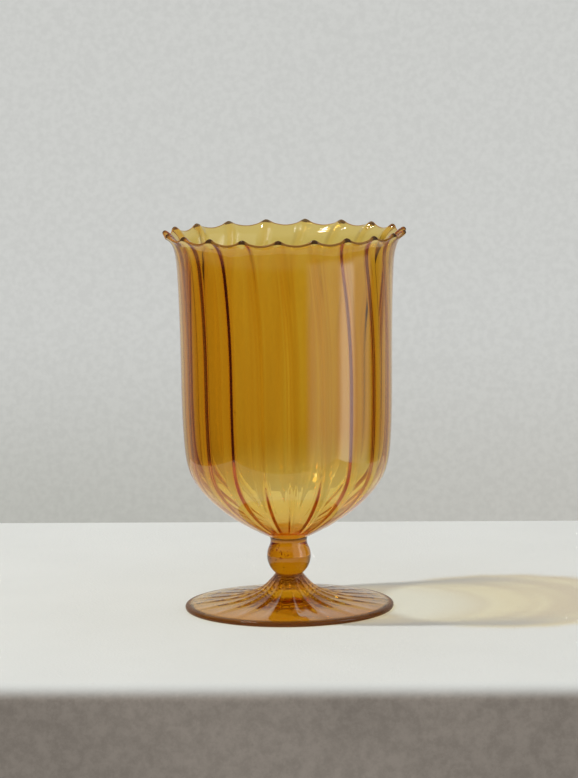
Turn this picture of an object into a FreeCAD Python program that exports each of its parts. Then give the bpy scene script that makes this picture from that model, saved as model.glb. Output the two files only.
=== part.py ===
import FreeCAD, Part
import math
import os
from FreeCAD import Vector

# A mouth-blown footed vase in amber glass, made as the glassmaker makes it: a blown bowl with
# twenty optic ribs inside it and a ruffled rim, a solid stem with a ball knop, and a pressed
# disc foot.
# The three gathers meet on flat faces where they were stuck together hot.
# Lengths are in millimetres and angles in degrees. The vase stands on z = 0 about the Z axis,
# and its front faces -Y.

# Foot: a thin skirt that climbs to a solid cone under the stem
foot_radius = 55.6
foot_height = 18.7
foot_edge = 2.8
foot_edge_round = 1.4
rest_ring_width = 3.2
underside_rise = 4.6
pontil_radius = 7.5
pontil_depth = 0.7
foot_rib_height = 0.8
foot_rib_width_share = 0.6
# Points from the neck out to the edge: shares of the way out and of the drop still to go
foot_outline_shares = ((0.057, 0.78), (0.13, 0.56), (0.30, 0.30), (0.62, 0.11))

# Stem: a short collar over a ball, drawn in to a neck below it
ball_radius = 11.7
neck_radius = 7.4
neck_curve = 1.0
collar_radius = 9.75
collar_curve = 6.0
collar_rise = 2.3

# Bowl: a rounded floor, a wall that opens slightly upwards, and a flared lip
floor_height = 52.2
floor_radius = 54.9
wall_height = 89.0
wall_taper = 2.2
lip_height = 20.5
lip_flare = 6.8
wall = 1.5
lip_thickness = 1.2
lip_reach = 30.0
floor_thickness = 3.0
well_radius = 2.0
# Points of the floor, from the join outwards, and of the lip, upwards: shares of the way out
# and of the way up
floor_outline_shares = ((0.327, 0.147), (0.705, 0.398), (0.922, 0.653), (1.0, 1.0))
lip_outline_shares = ((0.05, 0.27), (0.19, 0.57), (0.46, 0.81), (1.0, 1.0))

# Optic ribs on the inside of the wall, which lean near the rim, and the ruffle that they hold up
rib_count = 20
rib_azimuth = -85.7
rib_height = 1.3
rib_width_share = 0.45
rib_lean = 9.0
rib_lean_depth = 75.0
ruffle_dip = 2.0
ruffle_pucker = 1.1
ruffle_depth = 13.0

# Where sections are taken, as shares of an outline's length
bowl_section_shares = (0, 0.035, 0.08, 0.14, 0.20, 0.26, 0.33, 0.45, 0.57, 0.68, 0.78, 0.86, 0.92, 0.965, 1.0)
foot_section_shares = (0, 0.1, 0.2, 0.32, 0.46, 0.62, 0.80, 0.93, 1.0)
# Where a rounded edge is sectioned, as shares of its half turn
round_shares = (0.25, 0.5, 0.75)

pitch = 360 / rib_count
overrun = 1.0

# Heights and radii that the sizes above settle. The stem's ball runs tangent into a hollow arc
# at the neck and another at the collar.
ball_rise = math.sqrt((ball_radius + neck_curve) ** 2 - (neck_radius + neck_curve) ** 2)
collar_drop = math.sqrt((ball_radius + collar_curve) ** 2 - (collar_radius + collar_curve) ** 2)
ball_height = foot_height + ball_rise
waist_height = ball_height + collar_drop
join_height = waist_height + collar_rise
join_radius = collar_radius + collar_curve - math.sqrt(collar_curve ** 2 - collar_rise ** 2)
wall_foot = join_height + floor_height
wall_top = wall_foot + wall_height
wall_radius = floor_radius + wall_taper
rim_height = wall_top + lip_height


def curve_through(outline):
    curve = Part.BSplineCurve()
    curve.interpolate([Vector(radius, 0, height) for radius, height in outline])
    return curve


def point_and_outward(curve, share):
    # Outwards is to the right of the way up the curve
    place = curve.parameterAtDistance(share * curve.length(), curve.FirstParameter)
    along = curve.tangent(place)[0]
    return curve.value(place), Vector(along.z, 0, -along.x)


def ease_down(distance, reach):
    # One at no distance, falling to nothing at the reach
    return max(0, 1 - distance / reach) ** 2


def section(point, outward, rib, width_share, turn=0, dip=0, pucker=0):
    # A closed section: one edge from trough to trough over each rib. The rib stands up along
    # outward, and the troughs dip and draw in.
    half = width_share / 2
    flank = (half + 1 / 2) / 2
    shares = (-1 / 2, -flank, -half, -half / 2, 0, half / 2, half, flank, 1 / 2)
    edges = []
    for index in range(rib_count):
        points = []
        for share in shares:
            bump = rib * math.cos(math.pi * share / width_share) ** 2 if abs(share) < half else 0
            sag = math.sin(math.pi * abs(share)) ** 1.5
            radius = point.x + outward.x * bump - pucker * sag
            angle = math.radians(rib_azimuth + turn + (index + share) * pitch)
            height = point.z + outward.z * bump - dip * sag
            points.append(Vector(radius * math.cos(angle), radius * math.sin(angle), height))
        # In a trough the edge runs square to the radius, so it joins its neighbour smoothly
        ends = [Vector(-end.y, end.x, 0) * math.radians(pitch) for end in (points[0], points[-1])]
        edge = Part.BSplineCurve()
        edge.interpolate(Points=points, Parameters=shares, InitialTangent=ends[0], FinalTangent=ends[1])
        edges.append(edge.toShape())
    return Part.Wire(edges)


def closed_solid(runs):
    # Each run of sections is one smooth skin. A run starts on the section where the last one
    # ended, and flat faces close both ends.
    faces = [Part.Face(runs[0][0]), Part.Face(runs[-1][-1])]
    for run in runs:
        faces.extend(Part.makeLoft(run).Faces)
    shell = Part.makeShell(faces)
    shell.sewShape()
    return Part.makeSolid(shell)


def make_bowl():
    outline = [(join_radius, join_height)]
    for out, up in floor_outline_shares:
        outline.append((join_radius + out * (floor_radius - join_radius), join_height + up * floor_height))
    outline.append((floor_radius + wall_taper / 2, wall_foot + wall_height / 2))
    outline.append((wall_radius, wall_top))
    for out, up in lip_outline_shares:
        outline.append((wall_radius + out * lip_flare, wall_top + up * lip_height))
    outside = curve_through(outline)

    def bowl_section(point, outward, rib, height):
        # Lean and ruffle follow the height on the outside, so both faces of the wall keep step
        drop = rim_height - height
        turn = -rib_lean * ease_down(drop, rib_lean_depth)
        fade = ease_down(drop, ruffle_depth)
        return section(point, outward, rib, rib_width_share, turn, ruffle_dip * fade, ruffle_pucker * fade)

    outer = []
    inner = [section(Vector(well_radius, 0, join_height + floor_thickness), Vector(0, 0, 1), 0, rib_width_share)]
    for share in bowl_section_shares:
        point, outward = point_and_outward(outside, share)
        outer.append(bowl_section(point, outward, 0, point.z))
        if share > 0:
            thickness = wall + (floor_thickness - wall) * ease_down(point.z - join_height, floor_height)
            thickness += (lip_thickness - wall) * ease_down(rim_height - point.z, lip_reach)
            # The ribs start at the well and stand higher as the bowl widens
            rib = rib_height * (point.x - join_radius) / (wall_radius - join_radius)
            inner.append(bowl_section(point - outward * thickness, -outward, rib, point.z))

    # The lip rolls over in a half round, and the ribs swell out of it towards the inside
    edge, outward = point_and_outward(outside, 1)
    upward = Vector(-outward.z, 0, outward.x)
    centre = edge - outward * (lip_thickness / 2)
    lip = [outer[-1]]
    for share in round_shares:
        facing = outward * math.cos(math.pi * share) + upward * math.sin(math.pi * share)
        rib = rib_height * share * (edge.x - join_radius) / (wall_radius - join_radius)
        lip.append(bowl_section(centre + facing * (lip_thickness / 2), facing, rib, rim_height))
    lip.append(inner[-1])
    return closed_solid([outer, lip, inner[::-1]])


def arc(centre_radius, centre_height, radius, start, end):
    # An arc in the XZ plane, with its angles measured from +X towards +Z
    points = []
    for angle in (start, (start + end) / 2, end):
        turned = math.radians(angle)
        points.append(Vector(centre_radius + radius * math.cos(turned), 0, centre_height + radius * math.sin(turned)))
    return Part.Arc(*points).toShape()


def make_stem():
    neck_angle = math.degrees(math.atan2(ball_rise, neck_radius + neck_curve))
    collar_angle = math.degrees(math.atan2(collar_drop, collar_radius + collar_curve))
    join_angle = math.degrees(math.asin(collar_rise / collar_curve))
    neck = arc(neck_radius + neck_curve, foot_height, neck_curve, 180, 180 - neck_angle)
    ball = arc(0, ball_height, ball_radius, -neck_angle, collar_angle)
    collar = arc(collar_radius + collar_curve, waist_height, collar_curve, 180 + collar_angle, 180 - join_angle)
    corners = [collar.Vertexes[1].Point, Vector(0, 0, join_height), Vector(0, 0, foot_height), neck.Vertexes[0].Point]
    lines = Part.makePolygon(corners).Edges
    outline = Part.Wire([neck, ball, collar] + lines)
    return Part.Face(outline).revolve(Vector(0, 0, 0), Vector(0, 0, 1), 360)


def dome(radius, height, base):
    # A cap of a ball, which stands on a circle of this radius at the base's height
    ball = (radius ** 2 + height ** 2) / (2 * height)
    cap = Part.makeSphere(ball, Vector(0, 0, base + height - ball))
    return cap.common(Part.makeCylinder(radius + overrun, height + overrun, Vector(0, 0, base)))


def make_foot():
    edge_radius = foot_radius - foot_edge_round
    outline = [(edge_radius, foot_edge)]
    for out, up in reversed(foot_outline_shares):
        outline.append((neck_radius + out * (edge_radius - neck_radius), foot_edge + up * (foot_height - foot_edge)))
    outline.append((neck_radius, foot_height))
    outside = curve_through(outline)
    skirt = []
    for share in foot_section_shares:
        point, outward = point_and_outward(outside, share)
        # The ribs fade out towards the edge and up the cone
        rib = foot_rib_height * math.sin(math.pi * share)
        skirt.append(section(point, outward, rib, foot_rib_width_share))
    edge = [section(Vector(edge_radius, 0, 0), Vector(1, 0, 0), 0, foot_rib_width_share)]
    for share in round_shares:
        radius = edge_radius + foot_edge_round * math.sin(math.pi * share)
        height = foot_edge / 2 * (1 - math.cos(math.pi * share))
        edge.append(section(Vector(radius, 0, height), Vector(1, 0, 0), 0, foot_rib_width_share))
    edge.append(skirt[0])
    pressed = closed_solid([edge, skirt])
    # The underside is hollow inside the ring that the vase rests on, with a ground dimple where
    # the iron was broken off
    hollow = dome(edge_radius - rest_ring_width, underside_rise, 0)
    pontil = dome(pontil_radius, pontil_depth + overrun, underside_rise - overrun)
    return pressed.cut(hollow).cut(pontil)


os.makedirs("parts", exist_ok=True)
for name, make in (("foot", make_foot), ("stem", make_stem), ("bowl", make_bowl)):
    solid = make()
    print(name, "valid", solid.isValid(), "solids", len(solid.Solids), "cm3", round(solid.Volume / 1000, 2))
    solid.exportStep("parts/" + name + ".step")
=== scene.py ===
import math

import bpy
import numpy as np
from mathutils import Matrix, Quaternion, Vector


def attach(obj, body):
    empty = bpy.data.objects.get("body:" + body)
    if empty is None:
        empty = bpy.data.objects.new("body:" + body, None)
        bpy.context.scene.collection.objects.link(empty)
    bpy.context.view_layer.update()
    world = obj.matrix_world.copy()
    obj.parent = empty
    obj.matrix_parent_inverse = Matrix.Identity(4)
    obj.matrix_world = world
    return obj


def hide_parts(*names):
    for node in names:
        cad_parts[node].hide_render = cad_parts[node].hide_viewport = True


# A footed vase in blown amber glass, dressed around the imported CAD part. Lengths in the
# dictionaries are in millimetres and angles in degrees. Meshes and Object coordinates are in
# metres, so a length is multiplied by milli on its way there. Scales of noise are per metre.

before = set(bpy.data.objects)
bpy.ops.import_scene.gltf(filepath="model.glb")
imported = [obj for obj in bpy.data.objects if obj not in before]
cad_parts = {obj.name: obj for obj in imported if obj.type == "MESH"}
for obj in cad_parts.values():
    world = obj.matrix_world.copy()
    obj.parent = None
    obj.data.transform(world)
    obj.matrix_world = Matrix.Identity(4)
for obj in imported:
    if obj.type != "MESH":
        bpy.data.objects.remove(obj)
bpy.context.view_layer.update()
print("frame loaded:", sorted(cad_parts))

milli = 0.001
curveSteps = 4000


# Curves, grids and meshes

def curveThrough(points):
    # Cubic spline by chord length. Each end has the slope of the cubic through its four nearest
    # points. Returned: points, outward normals and the share of the length at each.
    points = np.array(points, float)
    steps = np.linalg.norm(np.diff(points, axis=0), axis=1)
    knots = np.concatenate([[0], np.cumsum(steps)])
    rise = np.diff(points, axis=0) / steps[:, None]
    size = len(points)
    matrix = np.eye(size)
    right = np.zeros((size, 2))
    inner = np.arange(1, size - 1)
    matrix[inner, inner - 1] = steps[1:]
    matrix[inner, inner] = 2 * (steps[:-1] + steps[1:])
    matrix[inner, inner + 1] = steps[:-1]
    right[1:-1] = 3 * (steps[1:, None] * rise[:-1] + steps[:-1, None] * rise[1:])
    for end, near in ((0, slice(0, 4)), (size - 1, slice(size - 4, size))):
        cubic = np.polynomial.polynomial.polyfit(knots[near] - knots[end], points[near], 3)
        right[end] = cubic[1]
    slopes = np.linalg.solve(matrix, right)
    # Between two points runs the cubic with their places and their slopes
    place = np.linspace(0, knots[-1], curveSteps)
    span = np.clip(np.searchsorted(knots, place, side="right") - 1, 0, size - 2)
    share = ((place - knots[span]) / steps[span])[:, None]
    width = steps[span][:, None]
    curve = (1 + 2 * share) * (1 - share) ** 2 * points[span]
    curve += share ** 2 * (3 - 2 * share) * points[span + 1]
    curve += share * (1 - share) ** 2 * width * slopes[span]
    curve -= share ** 2 * (1 - share) * width * slopes[span + 1]
    along = np.gradient(curve, axis=0)
    along /= np.linalg.norm(along, axis=1)[:, None]
    length = np.concatenate([[0], np.cumsum(np.linalg.norm(np.diff(curve, axis=0), axis=1))])
    return curve, np.stack([along[:, 1], -along[:, 0]], 1), length / length[-1]


def atShares(curve, shares):
    # Points and outward normals at shares of a curve's length
    points, outward, lengths = curve

    def between(values):
        return np.stack([np.interp(shares, lengths, values[:, axis]) for axis in (0, 1)], 1)

    normals = between(outward)
    return between(points), normals / np.linalg.norm(normals, axis=1)[:, None]


def sharesAlong(runs):
    # Shares from runs of a start, an end and a count. Only the last run holds its end.
    parts = [np.linspace(*run, endpoint=False) for run in runs[:-1]]
    return np.concatenate(parts + [np.linspace(*runs[-1])])


def easeDown(distance, reach):
    # One at no distance, falling to nothing at the reach by the square
    return np.maximum(0, 1 - distance / reach) ** 2


def ribsAround(size):
    # For each column round the axis: its share of a pitch, from trough to trough over its rib,
    # its angle, and how far the rib stands there, which is cos squared across the rib's width.
    # A share is 0.45 of an even step plus 2.2 of its cube, so columns crowd on the rib.
    count = size["ribColumns"]
    even = (np.arange(count) + 0.5) / count - 0.5
    shares = np.tile(0.45 * even + 2.2 * even ** 3, size["ribs"])[None, :]
    index = np.repeat(np.arange(size["ribs"]), count)[None, :]
    around = np.radians((index + shares) * 360 / size["ribs"])
    width = size["ribWidthShare"]
    return shares, around, np.where(abs(shares) < width / 2, np.cos(math.pi * shares / width) ** 2, 0)


def arcPoints(centre, radius, start, end, count):
    turned = np.radians(np.linspace(start, end, count))
    return np.stack([centre[0] + radius * np.cos(turned), centre[1] + radius * np.sin(turned)], 1)


def turnedGrid(radius, angle, height):
    # Points at radii and angles about the Z axis, one row of points for each height
    return np.stack([radius * np.cos(angle), radius * np.sin(angle), height + 0 * angle], -1)


def gridFaces(rows, columns):
    # Quads between the rows of a grid whose columns go round
    row = np.arange(rows - 1)[:, None] * columns
    column = np.arange(columns)[None, :]
    after = (column + 1) % columns
    corners = [row + column, row + after, row + columns + after, row + columns + column]
    return np.stack(corners, -1).reshape(-1, 4)


def fanFaces(ring, centre, backwards=False):
    # Triangles from a ring of points to one in the middle
    after = np.roll(ring, -1)
    order = (after, ring) if backwards else (ring, after)
    return np.stack([order[0], order[1], np.full(len(ring), centre)], 1)


def closedSkin(rows, columns):
    # The grid's quads, and the fans that close its first and last rows onto the two points that
    # follow the grid
    total, ring = rows * columns, np.arange(columns)
    return (gridFaces(rows, columns), fanFaces(ring, total, backwards=True),
            fanFaces(total - columns + ring, total + 1))


def meshPiece(name, points, faces, flat, materials, shadeCoat=None):
    # One mesh from a point array and index arrays of faces; faces in flat are flat shaded and
    # take the second material. The share of a coat of painted shade is a value for each point.
    mesh = bpy.data.meshes.new(name)
    arrays = list(faces) + list(flat)
    counts = np.concatenate([np.full(len(array), array.shape[1]) for array in arrays])
    starts = np.concatenate([[0], np.cumsum(counts)[:-1]])
    corners = np.concatenate([array.ravel() for array in arrays])
    smooth = np.arange(len(counts)) < sum(len(array) for array in faces)
    mesh.vertices.add(len(points))
    mesh.vertices.foreach_set("co", (points * milli).astype(np.float32).ravel())
    mesh.loops.add(len(corners))
    mesh.loops.foreach_set("vertex_index", corners.astype(np.int32))
    mesh.polygons.add(len(counts))
    mesh.polygons.foreach_set("loop_start", starts.astype(np.int32))
    mesh.polygons.foreach_set("use_smooth", smooth)
    mesh.polygons.foreach_set("material_index", (~smooth).astype(np.int32))
    mesh.update(calc_edges=True)
    mesh.validate()
    if shadeCoat is not None:
        layer = mesh.attributes.new("shadeCoat", "FLOAT", "POINT")
        layer.data.foreach_set("value", shadeCoat.astype(np.float32))
    for material in materials:
        mesh.materials.append(material)
    piece = bpy.data.objects.new(name, mesh)
    bpy.context.scene.collection.objects.link(piece)
    return piece


# Shader nodes

def shaderNode(tree, kind, settings=None, **inputs):
    # A node with its settings and inputs. An input goes by its name, or by its number after an
    # underscore, and is a value or another node's output.
    node = tree.nodes.new("ShaderNode" + kind)
    for name, value in (settings or {}).items():
        setattr(node, name, value)
    for name, value in inputs.items():
        socket = node.inputs[int(name[1:]) if name[0] == "_" else name.replace("_", " ")]
        if isinstance(value, bpy.types.NodeSocket):
            tree.links.new(value, socket)
        else:
            socket.default_value = value
    return node


def maths(tree, operation, first, second=0.0, third=0.0):
    node = shaderNode(tree, "Math", {"operation": operation}, _0=first, _1=second, _2=third)
    return node.outputs[0]


def mapped(tree, value, fromLow, fromHigh, toLow=0.0, toHigh=1.0):
    # A smooth step from one range to another, held at its ends
    node = shaderNode(tree, "MapRange", {"interpolation_type": "SMOOTHSTEP"}, Value=value,
                      From_Min=fromLow, From_Max=fromHigh, To_Min=toLow, To_Max=toHigh)
    return node.outputs[0]


def noise(tree, place, scale, detail, roughness=0.5):
    node = shaderNode(tree, "TexNoise", Vector=place, Scale=scale, Detail=detail, Roughness=roughness)
    return node.outputs["Fac"]


def mixedColour(tree, share, first, second):
    # Each colour is three values or another node's output
    pair = [value if isinstance(value, bpy.types.NodeSocket) else (*value, 1) for value in (first, second)]
    return shaderNode(tree, "Mix", {"data_type": "RGBA"}, _0=share, _6=pair[0], _7=pair[1]).outputs[2]


def mixedShader(tree, share, first, second):
    return shaderNode(tree, "MixShader", _0=share, _1=first, _2=second).outputs[0]


def newTree(name):
    material = bpy.data.materials.new(name)
    material.use_nodes = True
    material.node_tree.nodes.clear()
    return material, material.node_tree


# Glass

glassLook = {
    "index": 1.5, "streaks": (0.35, 0.65), "slant": 0.18, "tilt": -0.13, "seedSoft": 1.6,
    "rippleDepth": 0.4, "smearScale": 38.0, "smears": (0.55, 0.8), "knotShade": (0.62, 0.80),
    "ringScale": (6, 6, 90), "rings": (0.43, 0.57), "lowHeights": (115.0, 50.0),
    "edgeBlend": 0.35, "edges": (0.42, 0.74),
}
joinLook = {
    # Share and colour of the pale coat of painted light on the join
    "joinLight": 0.92, "thinJoinLight": 0.85, "colour": (1.0, 0.93, 0.68), "cloudScale": 400.0, "clouds": (0.3, 0.7),
}


def makeGlass(name, look):
    material, tree = newTree(name)
    place = shaderNode(tree, "TexCoord").outputs["Object"]
    # Streaks of a paler and a deeper amber, drawn out along the axis as the gather was blown
    drawn = shaderNode(tree, "Mapping", Vector=place, Scale=look["streakScale"]).outputs[0]
    streaks = mapped(tree, noise(tree, drawn, 1.0, 3.0, 0.55), *glassLook["streaks"])
    tint = mixedColour(tree, streaks, look["deep"], look["pale"])
    # Zones of another tint, some of them painted light or shade: along one axis, out from the
    # Z axis, or up it with a lean
    split = shaderNode(tree, "SeparateXYZ", Vector=place).outputs
    squares = [maths(tree, "MULTIPLY", split[axis], split[axis]) for axis in ("X", "Y")]
    along = {
        "side": split["X"], "front": split["Y"], "height": split["Z"],
        "slant": maths(tree, "MULTIPLY_ADD", split["Y"], glassLook["slant"], split["Z"]),
        "tilt": maths(tree, "MULTIPLY_ADD", split["X"], glassLook["tilt"], split["Z"]),
        "radius": maths(tree, "SQRT", maths(tree, "ADD", *squares)),
    }
    for axis, start, end, colour in look["zones"]:
        tint = mixedColour(tree, mapped(tree, along[axis], start * milli, end * milli), tint, colour)
    # Tiny seeds of air read as dark specks
    cells = shaderNode(tree, "TexVoronoi", Vector=place, Scale=look["seedScale"]).outputs
    seedEdge = look["seedSize"] * glassLook["seedSoft"]
    speck = mapped(tree, cells["Distance"], look["seedSize"], seedEdge, 1.0, 0.0)
    chosen = shaderNode(tree, "SeparateColor", Color=cells["Color"]).outputs[0]
    rare = maths(tree, "LESS_THAN", chosen, look["seedShare"])
    tint = mixedColour(tree, maths(tree, "MULTIPLY", speck, rare), tint, look["seed"])
    # The fire polish leaves a slow ripple, and hands leave a few faint smears
    ripple = noise(tree, drawn, look["rippleScale"], 1.0)
    bump = shaderNode(tree, "Bump", Strength=look["ripple"], Distance=glassLook["rippleDepth"] * milli,
                      Height=ripple).outputs[0]
    smear = noise(tree, place, glassLook["smearScale"], 4.0)
    roughness = mapped(tree, smear, *glassLook["smears"], 0.0, look["smear"])
    surface = shaderNode(tree, "BsdfPrincipled", Base_Color=tint, Roughness=roughness, Normal=bump,
                         IOR=glassLook["index"], Transmission_Weight=1.0).outputs[0]
    if "shadeCoatColour" in look:
        # A brown diffuse coat paints shade on the lip and the foot's edge, darkest on the lip's crests
        shadeCoat = shaderNode(tree, "Attribute", {"attribute_name": "shadeCoat"}).outputs["Fac"]
        knotShade = mixedColour(tree, mapped(tree, shadeCoat, *glassLook["knotShade"]), look["shadeCoatColour"], look["knotShadeColour"])
        surface = mixedShader(tree, shadeCoat, surface, shaderNode(tree, "BsdfDiffuse", Color=knotShade).outputs[0])
    # Light that falls through the glass tints the shadow instead of being lost in it. The tint
    # varies in rings, pales towards the foot, and deepens where the wall is met edge on.
    ringPlace = shaderNode(tree, "Mapping", Vector=place, Scale=glassLook["ringScale"]).outputs[0]
    rings = mapped(tree, noise(tree, ringPlace, 1.0, 2.0), *glassLook["rings"])
    low = mapped(tree, split["Z"], *[height * milli for height in glassLook["lowHeights"]])
    facing = shaderNode(tree, "LayerWeight", Blend=glassLook["edgeBlend"]).outputs["Facing"]
    passed = mixedColour(tree, rings, look["shade"], look["shadePale"])
    passed = mixedColour(tree, low, passed, look["shadeLow"])
    passed = mixedColour(tree, mapped(tree, facing, *glassLook["edges"]), passed, look["shadeEdge"])
    clear = shaderNode(tree, "BsdfTransparent", Color=passed).outputs[0]
    soak = shaderNode(tree, "VolumeAbsorption", Color=(*look["soak"], 1), Density=look["density"]).outputs[0]
    light = shaderNode(tree, "LightPath").outputs
    through = maths(tree, "MAXIMUM", light["Is Shadow Ray"], light["Is Diffuse Ray"])
    # Such light meets no volume: the second shader of its mix is left empty
    volume = shaderNode(tree, "MixShader", _0=through, _1=soak).outputs[0]
    shaderNode(tree, "OutputMaterial", Surface=mixedShader(tree, through, surface, clear), Volume=volume)
    return material


def makeJoinGlass(name, joinLight):
    # Where two gathers were fused there is no surface, so light goes straight on. From above, a
    # pale diffuse coat on the join hides the solid stem and paints light onto the bowl's floor.
    material, tree = newTree(name)
    surface = shaderNode(tree, "BsdfPrincipled", Base_Color=(1, 1, 1, 1), Roughness=0.0, IOR=1.0,
                         Transmission_Weight=1.0).outputs[0]
    if joinLight:
        place = shaderNode(tree, "TexCoord").outputs["Object"]
        cloud = noise(tree, place, joinLook["cloudScale"], 2.0)
        above = shaderNode(tree, "NewGeometry").outputs["Backfacing"]
        clouded = mapped(tree, cloud, *joinLook["clouds"], joinLight * joinLook["thinJoinLight"], joinLight)
        paleCoat = shaderNode(tree, "BsdfDiffuse", Color=(*joinLook["colour"], 1)).outputs[0]
        surface = mixedShader(tree, maths(tree, "MULTIPLY", clouded, above), surface, paleCoat)
    shaderNode(tree, "OutputMaterial", Surface=surface)
    return material


# The bowl

bowlSizes = {
    "joinHeight": 38.6016, "joinRadius": 10.2083, "floorHeight": 52.2, "floorRadius": 54.9,
    "wallHeight": 89.0, "wallTaper": 2.2, "lipHeight": 20.5, "lipFlare": 6.8,
    "wall": 1.5, "lipThickness": 1.2, "lipReach": 30.0, "floorThickness": 3.0,
    "floorShares": ((0.327, 0.147), (0.705, 0.398), (0.922, 0.653), (1.0, 1.0)),
    "lipShares": ((0.05, 0.27), (0.19, 0.57), (0.46, 0.81), (1.0, 1.0)),
    "wellShares": (0.75, 0.5, 0.28, 0.12),
    "ribs": 20, "ribColumns": 20, "ribAzimuth": -85.7, "ribHeight": 1.3, "ribWidthShare": 0.45,
    "ribLean": 9.0, "leanDepth": 75.0, "ruffleDip": 2.0, "rufflePucker": 1.1, "ruffleDepth": 13.0,
    "ribShare": 0.90, "sideShare": 0.60, "uneven": 0.10,
    "lowStray": 1.25, "rimStray": 5.0, "rimStrayTurn": 45.0, "rimStrayBack": 1.9,
    "outsideRuns": ((0, 0.42, 46), (0.42, 0.84, 28), (0.84, 1, 32)), "lipSteps": 12,
    "insideRuns": ((1, 0.84, 26), (0.84, 0.42, 24), (0.42, 0.035, 40)),
    "lipShadeCoat": 0.62, "crestShadeCoat": 0.22,
}
bowlLook = {
    "deep": (0.893, 0.652, 0.145), "pale": (0.933, 0.737, 0.218),
    # Zones: darker on the -X side is painted shade, paler towards the rim, then paler low in the bowl and
    # clear on its floor, which is painted light
    "zones": (("side", -18, -38, (0.872, 0.612, 0.095)), ("slant", 170, 214, (0.955, 0.79, 0.30)),
              ("tilt", 88, 62, (0.985, 0.945, 0.64)), ("height", 61, 49, (1.0, 1.0, 1.0))),
    "streakScale": (95, 95, 5), "rippleScale": 0.6, "ripple": 0.10, "smear": 0.02,
    "seed": (0.35, 0.16, 0.02), "seedScale": 110.0, "seedSize": 0.035, "seedShare": 0.05,
    # Colours of the coat of painted shade on the lip, and darker on its crests
    "shadeCoatColour": (0.56, 0.25, 0.04), "knotShadeColour": (0.105, 0.05, 0.018),
    "shade": (0.82, 0.65, 0.24), "shadePale": (0.965, 0.85, 0.47), "shadeLow": (1.0, 0.975, 0.86),
    "shadeEdge": (0.42, 0.34, 0.22), "soak": (0.948, 0.745, 0.04), "density": 280.0,
}


def buildBowl(glass, join):
    size = bowlSizes
    wallFoot = size["joinHeight"] + size["floorHeight"]
    wallTop = wallFoot + size["wallHeight"]
    wallRadius = size["floorRadius"] + size["wallTaper"]
    rimHeight = wallTop + size["lipHeight"]
    floorHeight = size["joinHeight"] + size["floorThickness"]
    outline = [(size["joinRadius"], size["joinHeight"])]
    for out, up in size["floorShares"]:
        outline.append((size["joinRadius"] + out * (size["floorRadius"] - size["joinRadius"]),
                        size["joinHeight"] + up * size["floorHeight"]))
    outline.append((size["floorRadius"] + size["wallTaper"] / 2, wallFoot + size["wallHeight"] / 2))
    outline.append((wallRadius, wallTop))
    for out, up in size["lipShares"]:
        outline.append((wallRadius + out * size["lipFlare"], wallTop + up * size["lipHeight"]))
    curve = curveThrough(outline)

    def ribHeight(radius):
        # The ribs stand inside the wall, higher as the bowl widens
        return size["ribHeight"] * (radius - size["joinRadius"]) / (wallRadius - size["joinRadius"])

    # Rows run up the outside, over the lip, down the inside and in on the well's floor. A row is
    # a point, a direction for the ribs to stand in, a rib height and the height that settles its
    # lean and ruffle.
    points, outward = atShares(curve, sharesAlong(size["outsideRuns"]))
    outer = (points, outward, np.zeros(len(points)), points[:, 1])
    edge, normal = points[-1], outward[-1]
    half = size["lipThickness"] / 2
    lipShare = np.arange(1, size["lipSteps"]) / size["lipSteps"]
    turn = math.pi * lipShare[:, None]
    facing = np.cos(turn) * normal + np.sin(turn) * [-normal[1], normal[0]]
    lip = (edge - normal * half + facing * half, facing, ribHeight(edge[0]) * lipShare,
           np.full(len(lipShare), rimHeight))
    points, outward = atShares(curve, sharesAlong(size["insideRuns"]))
    floorEase = easeDown(points[:, 1] - size["joinHeight"], size["floorHeight"])
    thickness = size["wall"] + (size["floorThickness"] - size["wall"]) * floorEase
    lipEase = easeDown(rimHeight - points[:, 1], size["lipReach"])
    thickness += (size["lipThickness"] - size["wall"]) * lipEase
    inside = (points - outward * thickness[:, None], -outward, ribHeight(points[:, 0]), points[:, 1])
    last = inside[0][-1]
    shrink = np.array(size["wellShares"])
    floor = np.stack([last[0] * shrink, floorHeight + (last[1] - floorHeight) * shrink ** 2], 1)
    well = (floor, np.tile([0.0, 1.0], (len(shrink), 1)), np.zeros(len(shrink)), floor[:, 1])
    runs = [np.concatenate(parts)[:, None] for parts in zip(outer, lip, inside, well)]
    points, outward, ribs, heights = runs

    # A trough sags by the power 1.5 of the sine of its share, and draws in, both easing away
    # below the rim. Blown by hand, no two ribs and dips are quite alike: their size and their
    # place round the axis stray in slow waves, and below the ruffle the side ribs stand highest.
    shares, around, bump = ribsAround(size)
    drop = rimHeight - heights
    fade = easeDown(drop, size["ruffleDepth"])
    lean = easeDown(drop, size["leanDepth"])
    uneven = 1 - size["uneven"] * (1 + np.sin(3 * around + 1.1) * np.cos(2 * around + 0.4))
    sag = fade * np.sin(math.pi * abs(shares)) ** 1.5 * uneven
    share = size["ribShare"] + size["sideShare"] * (1 - fade) * np.sin(around) ** 2
    stand = ribs * bump * uneven * share
    radius = points[..., 0] + outward[..., 0] * stand - size["rufflePucker"] * sag
    height = points[..., 1] + outward[..., 1] * stand - size["ruffleDip"] * sag
    low = size["lowStray"] * (np.sin(around) - 1)
    high = size["rimStray"] * np.cos(around + math.radians(size["rimStrayTurn"])) - size["rimStrayBack"]
    astray = low * (1 - lean) + high * lean
    angle = around + np.radians(size["ribAzimuth"] - size["ribLean"] * lean + astray)
    rows, columns = radius.shape
    ends = [[0, 0, size["joinHeight"]], [0, 0, floorHeight]]
    cloud = np.concatenate([turnedGrid(radius, angle, height).reshape(-1, 3), ends])
    # The lip takes a coat of painted shade, and its crests more by the power 1.5 of their rib
    shadeCoat = np.zeros((rows, columns))
    lipRows = slice(len(outer[0]), len(outer[0]) + len(lipShare))
    shadeCoat[lipRows] = size["lipShadeCoat"] + size["crestShadeCoat"] * bump ** 1.5
    shadeCoat = np.concatenate([shadeCoat.ravel(), [0, 0]])
    skin, joinFan, wellFan = closedSkin(rows, columns)
    return meshPiece("bowlGlass", cloud, [skin, wellFan], [joinFan], (glass, join), shadeCoat)


# The stem

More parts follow.
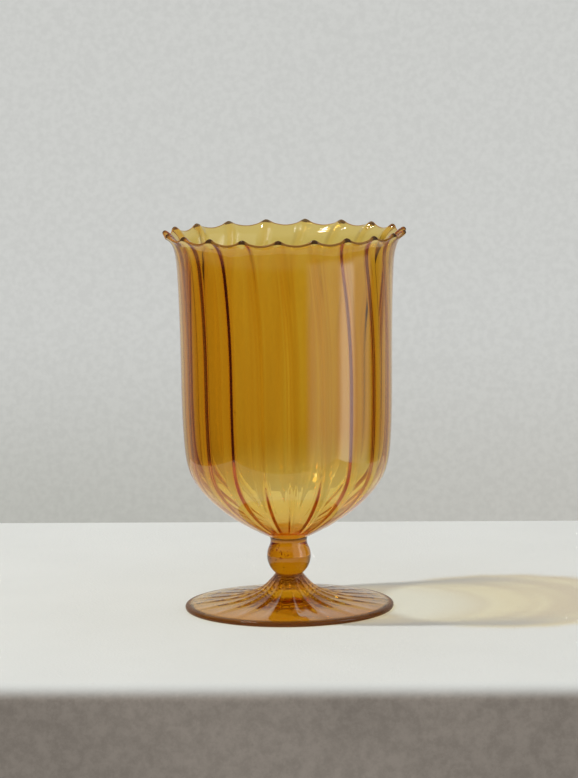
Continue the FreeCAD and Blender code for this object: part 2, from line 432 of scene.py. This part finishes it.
stemSizes = {
    "footHeight": 18.7, "ballHeight": 28.2252, "ballRadius": 11.7, "neckRadius": 7.4, "neckCurve": 1.0,
    "waistHeight": 36.3016, "collarRadius": 9.75, "collarCurve": 6.0, "joinHeight": 38.6016, "seam": 0.02,
    "neckRows": 14, "ballRows": 60, "collarRows": 18, "columns": 144,
    "seeds": 34, "seedRadius": 0.28, "seedCentre": (-2.6, -2.6, 1.8), "seedSpread": 6.6,
    "seedSmallest": 0.55, "seedTall": 1.4, "seedTilt": 75.0, "seedRows": 6, "seedColumns": 12,
}
stemLook = {
    "deep": (0.725, 0.415, 0.022), "pale": (0.775, 0.485, 0.04),
    # Zones: darker on the -X side, at the collar, under the join and at the neck, all painted shade
    "zones": (("side", -3, -10, (0.47, 0.21, 0.025)), ("height", 35.0, 37.2, (0.50, 0.26, 0.04)),
              ("height", 37.4, 38.4, (0.10, 0.04, 0.01)), ("height", 19.3, 18.8, (0.40, 0.16, 0.02))),
    "streakScale": (120, 120, 60), "rippleScale": 1.6, "ripple": 0.45, "smear": 0.01,
    "seed": (0.30, 0.10, 0.01), "seedScale": 160.0, "seedSize": 0.05, "seedShare": 0.04,
    "shade": (0.82, 0.58, 0.20), "shadePale": (0.86, 0.64, 0.26), "shadeLow": (0.88, 0.72, 0.40),
    "shadeEdge": (0.45, 0.30, 0.14), "soak": (0.954, 0.803, 0.0), "density": 150.0,
}


def seedShells(size, firstIndex):
    # Small bubbles of air: egg shapes whose faces look inwards, scattered about the ball's
    # middle. Each is rows of points from below, then its lowest and its highest point.
    rng = np.random.default_rng(7)
    count, rows, columns = size["seeds"], size["seedRows"], size["seedColumns"]
    away = rng.normal(size=(count, 3))
    away *= (size["seedSpread"] * rng.random(count) ** 0.5 / np.linalg.norm(away, axis=1))[:, None]
    centres = away + size["seedCentre"] + [0, 0, size["ballHeight"]]
    radii = size["seedRadius"] * rng.uniform(size["seedSmallest"], 1.0, count)
    turned = np.radians(np.arange(columns) * 360 / columns)
    tilt = np.radians(np.linspace(-size["seedTilt"], size["seedTilt"], rows))[:, None]
    egg = turnedGrid(np.cos(tilt), turned, size["seedTall"] * np.sin(tilt)).reshape(-1, 3)
    egg = np.concatenate([egg, [[0, 0, -size["seedTall"]], [0, 0, size["seedTall"]]]])
    points = (centres[:, None] + radii[:, None, None] * egg[None]).reshape(-1, 3)
    shift = firstIndex + np.arange(count)[:, None, None] * len(egg)
    shells = [faces[None, :, ::-1] + shift for faces in closedSkin(rows, columns)]
    return points, [faces.reshape(-1, faces.shape[-1]) for faces in shells]


def buildStem(glass, join):
    size = stemSizes
    neckCentre = size["neckRadius"] + size["neckCurve"]
    collarCentre = size["collarRadius"] + size["collarCurve"]
    collarRise = size["joinHeight"] - size["waistHeight"]
    neckAngle = math.degrees(math.atan2(size["ballHeight"] - size["footHeight"], neckCentre))
    collarAngle = math.degrees(math.atan2(size["waistHeight"] - size["ballHeight"], collarCentre))
    joinAngle = math.degrees(math.asin(collarRise / size["collarCurve"]))
    # The outline is three arcs that run tangent: hollow at the neck, the ball, hollow at the collar
    neck = arcPoints((neckCentre, size["footHeight"]), size["neckCurve"], 180, 180 - neckAngle,
                     size["neckRows"])
    ball = arcPoints((0, size["ballHeight"]), size["ballRadius"], -neckAngle, collarAngle, size["ballRows"])
    collar = arcPoints((collarCentre, size["waistHeight"]), size["collarCurve"], 180 + collarAngle,
                       180 - joinAngle, size["collarRows"])
    outline = np.concatenate([neck, ball[1:], collar[1:]])
    # A hair's breadth is left at each join, so that light never meets two faces in one plane
    outline[0, 1] += size["seam"]
    outline[-1, 1] -= size["seam"]
    angles = np.radians(np.arange(size["columns"]) * 360 / size["columns"])[None, :]
    grid = turnedGrid(outline[:, 0, None], angles, outline[:, 1, None])
    rows, columns = grid.shape[:2]
    ends = [[0, 0, outline[0, 1]], [0, 0, outline[-1, 1]]]
    seeds, shells = seedShells(size, rows * columns + len(ends))
    cloud = np.concatenate([grid.reshape(-1, 3), ends, seeds])
    skin, *fans = closedSkin(rows, columns)
    return meshPiece("stemGlass", cloud, [skin] + shells, fans, (glass, join))


# The foot

footSizes = {
    "radius": 55.6, "height": 18.7, "edge": 2.8, "edgeRound": 1.4, "ringWidth": 3.2, "rise": 4.6,
    "neckRadius": 7.4, "pontilRadius": 7.5, "pontilDepth": 0.7,
    "outlineShares": ((0.057, 0.78), (0.13, 0.56), (0.30, 0.30), (0.62, 0.11)),
    "ribs": 20, "ribColumns": 16, "ribAzimuth": -85.7, "ribHeight": 0.8, "ribWidthShare": 0.6, "uneven": 0.12,
    "underStart": 0.4, "underRows": 60, "edgeRows": 14, "skirtRows": 90,
    "edgeShadeCoat": 0.55, "shadeCoatFade": (0.4, 0.2, 0.08),
}
footLook = {
    "deep": (0.78, 0.43, 0.06), "pale": (0.82, 0.49, 0.09),
    # Zones: the +X side darker and dark rings at the neck and the edge are painted shade; the middle paler is
    # painted light; deeper towards the front
    "zones": (("side", 28, 52, (0.70, 0.40, 0.11)), ("front", -12, -36, (0.74, 0.35, 0.02)),
              ("radius", 18, 11, (1.0, 0.64, 0.02)), ("height", 18.2, 18.6, (0.55, 0.28, 0.04)),
              ("radius", 52.6, 54.2, (0.12, 0.045, 0.014))),
    "streakScale": (60, 60, 60), "rippleScale": 0.8, "ripple": 0.10, "smear": 0.03,
    "seed": (0.30, 0.12, 0.02), "seedScale": 130.0, "seedSize": 0.04, "seedShare": 0.05,
    # Colour of the coat of painted shade on the edge
    "shadeCoatColour": (0.19, 0.06, 0.006), "knotShadeColour": (0.19, 0.06, 0.006),
    "shade": (0.94, 0.86, 0.62), "shadePale": (0.97, 0.92, 0.76), "shadeLow": (0.97, 0.93, 0.80),
    "shadeEdge": (0.60, 0.48, 0.30), "soak": (0.92, 0.80, 0.2), "density": 95.0,
}


def buildFoot(glass, join):
    size = footSizes
    edgeRadius = size["radius"] - size["edgeRound"]
    spread, climb = edgeRadius - size["neckRadius"], size["height"] - size["edge"]
    outline = [(edgeRadius, size["edge"])]
    for out, up in reversed(size["outlineShares"]):
        outline.append((size["neckRadius"] + out * spread, size["edge"] + up * climb))
    outline.append((size["neckRadius"], size["height"]))
    skirtShares = np.linspace(0, 1, size["skirtRows"])
    skirt, outward = atShares(curveThrough(outline), skirtShares)
    # The underside is a shallow dome with a ground dimple in its middle, whose depth falls off
    # by the square of what is left to its rim. A flat ring leads to the round edge.
    ringRadius = edgeRadius - size["ringWidth"]
    ball = (ringRadius ** 2 + size["rise"] ** 2) / (2 * size["rise"])
    underRadius = np.linspace(size["underStart"], ringRadius, size["underRows"])
    dome = size["rise"] - ball + np.sqrt(ball ** 2 - underRadius ** 2)
    depth = size["pontilDepth"] * np.maximum(0, 1 - (underRadius / size["pontilRadius"]) ** 2) ** 2
    under = np.stack([underRadius, dome + depth], 1)
    turn = math.pi * np.linspace(0, 1, size["edgeRows"], endpoint=False)
    edge = np.stack([edgeRadius + size["edgeRound"] * np.sin(turn), size["edge"] / 2 * (1 - np.cos(turn))], 1)
    # Only the skirt has ribs, which fade out towards the edge and up the cone
    plain = len(under) + len(edge)
    profile = np.concatenate([under, edge, skirt])
    normals = np.concatenate([np.tile([0.0, 1.0], (plain, 1)), outward])
    ribs = np.concatenate([np.zeros(plain), size["ribHeight"] * np.sin(math.pi * skirtShares)])
    shares, around, bump = ribsAround(size)
    uneven = 1 - size["uneven"] * (1 + np.sin(3 * around + 2.1))
    stand = ribs[:, None] * bump * uneven
    radius = profile[:, 0, None] + normals[:, 0, None] * stand
    height = profile[:, 1, None] + normals[:, 1, None] * stand
    angle = math.radians(size["ribAzimuth"]) + around
    rows, columns = radius.shape
    ends = [[0, 0, under[0, 1]], [0, 0, size["height"]]]
    cloud = np.concatenate([turnedGrid(radius, angle, height).reshape(-1, 3), ends])
    # The edge takes a coat of painted shade from its second row to the skirt's second, fading above it
    shadeCoat = np.zeros(rows)
    shadeCoat[len(under) + 1:plain + 2] = size["edgeShadeCoat"]
    shadeCoat[plain + 2:plain + 2 + len(size["shadeCoatFade"])] = size["shadeCoatFade"]
    shadeCoat = np.concatenate([np.repeat(shadeCoat, columns), [0, 0]])
    skin, underFan, joinFan = closedSkin(rows, columns)
    return meshPiece("footGlass", cloud, [skin, underFan], [joinFan], (glass, join), shadeCoat)


# The table, the room and the light

tableSizes = {
    "left": -275.0, "right": 275.0, "front": -196.0, "back": 278.0, "corner": 6.0, "edgeRound": 9.0,
    "drop": 260.0, "turn": -3.0, "cornerColumns": 7, "edgeRows": 12,
}
tableLook = {
    # The hanging front is the same cloth as the top, darker: painted shade
    "top": (0.838, 0.850, 0.828), "topShade": 0.975, "front": (0.484, 0.420, 0.366),
    "shadedFrontDeep": (0.394, 0.341, 0.295), "mottleScale": 14.0, "mottle": (0.3, 0.7),
    "brushedScale": 150.0, "brushed": (0.35, 0.65), "patchyScale": 10.0, "patchy": (0.35, 0.65, 0.0, 0.13),
    "topFacing": (0.15, 0.95), "weaveScale": 620.0, "weaveDepth": 0.6, "weave": 0.35,
    "roughness": 0.95, "specular": 0.15,
}
# In the room azimuth 0 is +Y and 90 is +X. A patch is left, right, low, high and its soft edge.
roomLook = {
    "wallHigh": (0.616, 0.623, 0.602), "wallLeft": (0.484, 0.486, 0.447), "wallRight": (0.529, 0.524, 0.486),
    "wallSides": (-5, 5), "wallHeights": (-10.2, -6.2),
    "stippleScale": 620.0, "stipple": (0.3, 0.7, 0.0, 0.060),
    "ambient": (0.50, 0.505, 0.50), "dark": (0.055, 0.05, 0.046), "darkPatch": (-55, 55, -60, 60, 12),
    "sides": (0.20, 0.19, 0.175), "wallPatch": (-50, 50, -80, 80, 14),
    "ceiling": (0.55, 0.54, 0.50), "ceilingHeights": (18, 38),
    "floor": (0.30, 0.28, 0.25), "floorHeights": (-14, -24), "caughtShare": 0.2,
    "glow": (1.05, 1.05, 1.02), "glowPatch": (78, 156, -25, 44, 5),
    "window": (3.5, 3.5, 3.45), "windowPatch": (102, 119, -20, 40, 4), "key": (55.0, 53.0, 49.0),
    "keyPatches": ((-109, -98, 57, 66, 1.2), (-131, -124, 48, 55, 1.2), (-84, -77, 60, 66, 1.2)),
}
lightSizes = {"power": 16.8, "radius": 30.1, "place": (-657.0, -66.0, 1316.0), "colour": (1.0, 0.985, 0.95)}
cameraSizes = {
    "target": (1.2, 0.0, 117.6), "distance": 1961.0, "down": 7.65, "tall": 12.0, "roll": 0.75,
    "sensor": 36.0, "near": 50.0, "far": 50000.0,
}


def makeCloth():
    look = tableLook
    material, tree = newTree("tableCloth")
    place = shaderNode(tree, "TexCoord").outputs["Object"]
    mottle = mapped(tree, noise(tree, place, look["mottleScale"], 5.0), *look["mottle"])
    top = mixedColour(tree, mottle, [look["topShade"] * value for value in look["top"]], look["top"])
    # The hanging cloth has darker colours than the top, painted shade, and is brushed and darker in patches
    brushed = mapped(tree, noise(tree, place, look["brushedScale"], 8.0, 0.75), *look["brushed"])
    front = mixedColour(tree, brushed, look["shadedFrontDeep"], look["front"])
    patchy = mapped(tree, noise(tree, place, look["patchyScale"], 3.0), *look["patchy"])
    front = mixedColour(tree, patchy, front, (0, 0, 0))
    # Faces that look up take the top's colour, the rest the darker front: painted shade on the hanging cloth
    normal = shaderNode(tree, "NewGeometry").outputs["Normal"]
    upward = shaderNode(tree, "SeparateXYZ", Vector=normal).outputs["Z"]
    colour = mixedColour(tree, mapped(tree, upward, *look["topFacing"]), front, top)
    weave = noise(tree, place, look["weaveScale"], 2.0)
    bump = shaderNode(tree, "Bump", Strength=look["weave"], Distance=look["weaveDepth"] * milli,
                      Height=weave).outputs[0]
    cloth = shaderNode(tree, "BsdfPrincipled", Base_Color=colour, Roughness=look["roughness"], Normal=bump,
                       Specular_IOR_Level=look["specular"])
    shaderNode(tree, "OutputMaterial", Surface=cloth.outputs[0])
    return material


def buildTable():
    # Each row follows the four corners at one distance out: up the hanging cloth, over the edge
    # and in on the top
    size = tableSizes
    turn = np.radians(np.linspace(0, 90, size["edgeRows"]))
    inset = size["corner"] + size["edgeRound"]
    out = np.concatenate([[inset, inset], size["corner"] + size["edgeRound"] * np.cos(turn), [1.0]])
    level = size["edgeRound"] * (np.sin(turn) - 1)
    level = np.concatenate([[-size["drop"], -size["edgeRound"] - 1], level, [0.0]])
    quarter = np.repeat(np.arange(4), size["cornerColumns"])
    angle = np.radians(90 * quarter + np.tile(np.linspace(0, 90, size["cornerColumns"]), 4))
    middleX = np.where((quarter == 0) | (quarter == 3), size["right"] - inset, size["left"] + inset)
    middleY = np.where(quarter < 2, size["back"] - inset, size["front"] + inset)
    alongX, alongY = middleX + out[:, None] * np.cos(angle), middleY + out[:, None] * np.sin(angle)
    askew = math.radians(size["turn"])
    grid = np.stack([alongX * math.cos(askew) - alongY * math.sin(askew),
                     alongX * math.sin(askew) + alongY * math.cos(askew), level[:, None] + 0 * angle], -1)
    cloud = np.concatenate([grid.reshape(-1, 3), [[0, 0, level[0]], [0, 0, 0]]])
    return meshPiece("table", cloud, closedSkin(*grid.shape[:2]), [], (makeCloth(),))


def buildRoom():
    look = roomLook
    world = bpy.data.worlds.new("room")
    world.use_nodes = True
    tree = world.node_tree
    tree.nodes.clear()
    around = shaderNode(tree, "TexCoord").outputs["Generated"]
    direction = shaderNode(tree, "SeparateXYZ", Vector=around).outputs
    azimuth = maths(tree, "ARCTAN2", direction["X"], direction["Y"])
    azimuth = maths(tree, "MULTIPLY", azimuth, math.degrees(1))
    height = maths(tree, "MULTIPLY", maths(tree, "ARCSINE", direction["Z"]), math.degrees(1))

    def patch(left, right, low, high, soft):
        # One inside a patch of the room, falling off over its soft edge
        sides = [mapped(tree, azimuth, left - soft, left + soft),
                 mapped(tree, azimuth, right - soft, right + soft, 1, 0),
                 mapped(tree, height, low - soft, low + soft),
                 mapped(tree, height, high - soft, high + soft, 1, 0)]
        product = sides[0]
        for side in sides[1:]:
            product = maths(tree, "MULTIPLY", product, side)
        return product

    # The stippled wall behind, darker low down
    wall = mixedColour(tree, mapped(tree, azimuth, *look["wallSides"]), look["wallLeft"], look["wallRight"])
    wall = mixedColour(tree, mapped(tree, height, *look["wallHeights"]), wall, look["wallHigh"])
    stipple = mapped(tree, noise(tree, around, look["stippleScale"], 3.0), *look["stipple"])
    wall = mixedColour(tree, stipple, wall, (0, 0, 0))
    # What is seen directly: that wall between plain sides, under a ceiling
    overhead = mapped(tree, height, *look["ceilingHeights"])
    beyond = mixedColour(tree, patch(*look["wallPatch"]), look["sides"], wall)
    beyond = mixedColour(tree, overhead, beyond, look["ceiling"])
    # What the glass mirrors: the same wall, a dark room in front, the floor, and a bright side
    # with a window, of which light caught inside the glass sees little
    mirrored = mixedColour(tree, patch(*look["darkPatch"]), look["dark"], wall)
    mirrored = mixedColour(tree, overhead, mirrored, look["ceiling"])
    mirrored = mixedColour(tree, mapped(tree, height, *look["floorHeights"]), mirrored, look["floor"])
    light = shaderNode(tree, "LightPath").outputs
    caught = maths(tree, "MINIMUM", light["Transmission Depth"], 1.0)
    openShare = maths(tree, "MULTIPLY_ADD", caught, look["caughtShare"] - 1, 1.0)
    for source in ("glow", "window"):
        share = maths(tree, "MULTIPLY", patch(*look[source + "Patch"]), openShare)
        mirrored = mixedColour(tree, share, mirrored, look[source])
    # Small lamps above on the left leave the sparkles
    for place in look["keyPatches"]:
        mirrored = mixedColour(tree, patch(*place), mirrored, look["key"])
    bounced = maths(tree, "MINIMUM", light["Glossy Depth"], 1.0)
    seen = mixedColour(tree, bounced, beyond, mirrored)
    # Diffuse light comes evenly from all round
    direct = maths(tree, "MAXIMUM", light["Is Camera Ray"], light["Is Glossy Ray"])
    direct = maths(tree, "MAXIMUM", direct, light["Is Transmission Ray"])
    background = shaderNode(tree, "Background", Color=mixedColour(tree, direct, look["ambient"], seen))
    shaderNode(tree, "OutputWorld", Surface=background.outputs[0])
    bpy.context.scene.world = world


def buildLight():
    # A small soft lamp above and to the left, as strong on the whole table
    lamp = bpy.data.lights.new("keyLight", "POINT")
    lamp.energy = lightSizes["power"]
    lamp.shadow_soft_size = lightSizes["radius"] * milli
    lamp.use_nodes = True
    tree = lamp.node_tree
    tree.nodes.clear()
    even = shaderNode(tree, "LightFalloff", Strength=1.0).outputs["Constant"]
    glow = shaderNode(tree, "Emission", Color=(*lightSizes["colour"], 1), Strength=even)
    shaderNode(tree, "OutputLight", Surface=glow.outputs[0])
    holder = bpy.data.objects.new("keyLight", lamp)
    holder.location = Vector(lightSizes["place"]) * milli
    holder.visible_glossy = False
    holder.visible_transmission = False
    holder.visible_camera = False
    bpy.context.scene.collection.objects.link(holder)


def buildCamera():
    # It looks down at its target from the front, rolled by about the lean of the vase in the photograph
    size = cameraSizes
    lens = bpy.data.cameras.new("photoView")
    lens.sensor_width = size["sensor"]
    lens.lens = size["sensor"] / 2 / math.tan(math.radians(size["tall"] / 2))
    lens.clip_start, lens.clip_end = size["near"] * milli, size["far"] * milli
    camera = bpy.data.objects.new("photoView", lens)
    down = math.radians(size["down"])
    back = Vector((0, -math.cos(down), math.sin(down)))
    camera.location = (Vector(size["target"]) + back * size["distance"]) * milli
    camera.rotation_mode = "QUATERNION"
    roll = Quaternion((0, 0, 1), -math.radians(size["roll"]))
    camera.rotation_quaternion = (-back).to_track_quat("-Z", "Y") @ roll
    bpy.context.scene.collection.objects.link(camera)
    bpy.context.scene.camera = camera


joinGlass = makeJoinGlass("fusedJoin", 0.0)
litJoin = makeJoinGlass("litJoin", joinLook["joinLight"])
builders = (("bowl", buildBowl, bowlLook, litJoin), ("stem", buildStem, stemLook, joinGlass),
            ("foot", buildFoot, footLook, joinGlass))
for node, build, look, join in builders:
    piece = build(makeGlass(node + "Glass", look), join)
    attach(piece, "root")
    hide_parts(node)
    print(node, "built:", len(piece.data.polygons), "faces")

table = buildTable()
buildRoom()
buildLight()
buildCamera()
print("table, room, light and camera placed")

view = bpy.context.scene.view_settings
view.view_transform = "Standard"
cycles = bpy.context.scene.cycles
cycles.max_bounces = 32
cycles.transmission_bounces = 32
cycles.glossy_bounces = 16
cycles.transparent_max_bounces = 32
cycles.caustics_reflective = True
cycles.caustics_refractive = True
